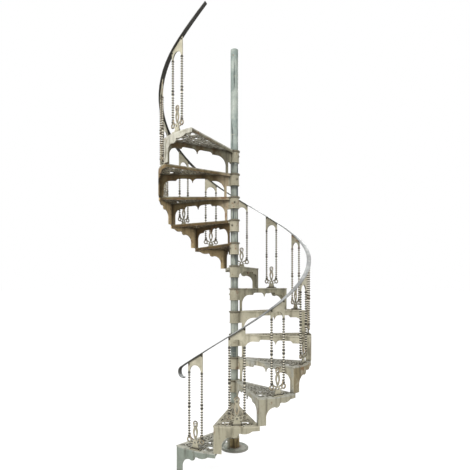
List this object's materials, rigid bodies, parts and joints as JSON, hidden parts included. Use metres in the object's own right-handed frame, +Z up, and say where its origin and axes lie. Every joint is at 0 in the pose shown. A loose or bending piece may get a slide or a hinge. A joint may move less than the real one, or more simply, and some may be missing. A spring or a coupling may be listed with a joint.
{
  "type": "spiral staircase",
  "caption": "Cast-iron spiral staircase: pierced wedge treads with arched risers round a tubular pole, beaded balusters and a flat handrail.",
  "frame": {"origin": "on the floor, on the pole's axis, at the underside of the floor plate", "axes": "+Z up the pole; +Y away from the picture's viewer and +X to the viewer's right; the stair climbs counterclockwise seen from above"},
  "size_m": [1.52, 1.52, 4.0385],
  "materials": {
    "plate_paint": "pale grey paint over a cast floor plate, stained at its edge",
    "base_iron": "rusty brown cast iron with the last of a pale paint",
    "pole_paint": "weathered blue-green paint with dark runs over steel tube",
    "rail_steel": "bare grey steel worn bright on top and dark below",
    "tread_paint": "aged cream paint over cast iron, stained with rust",
    "baluster_paint": "aged cream paint over cast iron"
  },
  "bodies": {
    "root": {"base_plate": "plate_paint", "pole_socket": "base_iron", "centre_pole": "pole_paint", "handrail": "rail_steel", "tread_01": "tread_paint", "tread_02": "tread_paint", "tread_03": "tread_paint", "tread_04": "tread_paint", "tread_05": "tread_paint", "tread_06": "tread_paint", "tread_07": "tread_paint", "tread_08": "tread_paint", "tread_09": "tread_paint", "tread_10": "tread_paint", "tread_11": "tread_paint", "tread_12": "tread_paint", "tread_13": "tread_paint", "baluster_01": "baluster_paint", "baluster_02": "baluster_paint", "baluster_03": "baluster_paint", "baluster_04": "baluster_paint", "baluster_05": "baluster_paint", "baluster_06": "baluster_paint", "baluster_07": "baluster_paint", "baluster_08": "baluster_paint", "baluster_09": "baluster_paint", "baluster_10": "baluster_paint", "baluster_11": "baluster_paint", "baluster_12": "baluster_paint", "baluster_13": "baluster_paint"}
  },
  "joints": []
}
